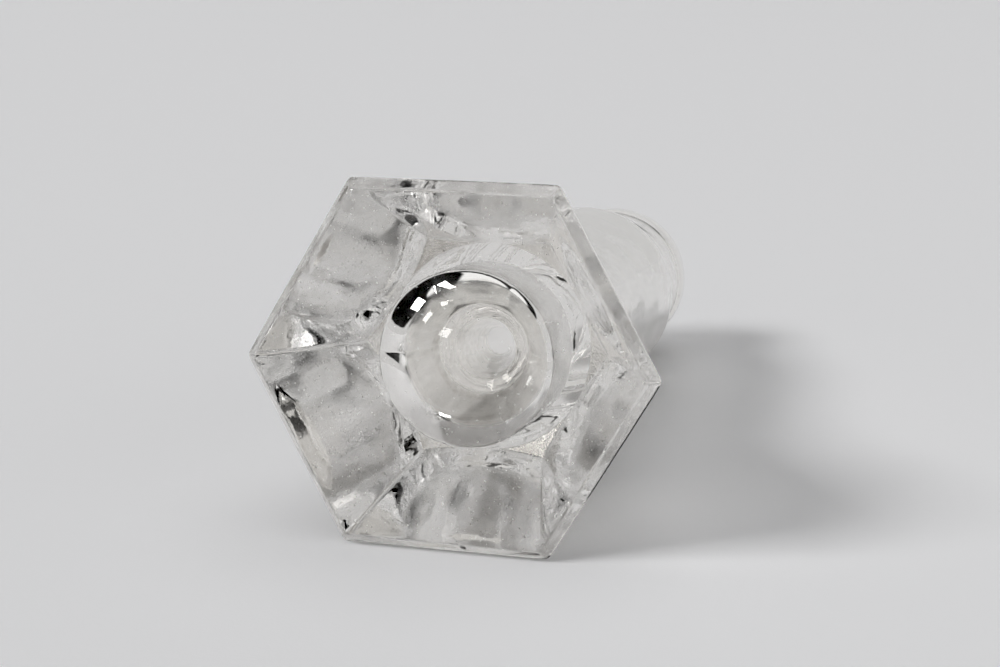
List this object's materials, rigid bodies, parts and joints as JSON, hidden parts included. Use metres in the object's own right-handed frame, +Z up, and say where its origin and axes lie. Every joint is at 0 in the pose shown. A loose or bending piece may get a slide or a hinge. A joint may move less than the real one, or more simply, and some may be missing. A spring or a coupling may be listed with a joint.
{
  "type": "glass insulator",
  "caption": "Clear thick-walled glass insulator: round barrel with a blind pin bore and domed chamber on a flared hexagonal foot with six sloping panels, lying on its side.",
  "frame": {"origin": "middle of the bounding box on the plane the glass lies on", "axes": "+Z up from the table, +Y along the glass from the foot's underside to the mouth (the glass axis dips 5.7 degrees below +Y, because the foot is wider than the lip), +X along a corner of the hexagon"},
  "size_m": [0.0808, 0.172, 0.0697],
  "materials": {
    "clear_glass": "clear colourless pressed glass, polished underside, slightly wavy fire-polished sides"
  },
  "bodies": {
    "root": {"foot_plate": "clear_glass", "foot_rise": "clear_glass", "chamber_crown": "clear_glass", "barrel": "clear_glass", "shoulder": "clear_glass", "neck": "clear_glass", "lip_ring": "clear_glass"}
  },
  "joints": []
}
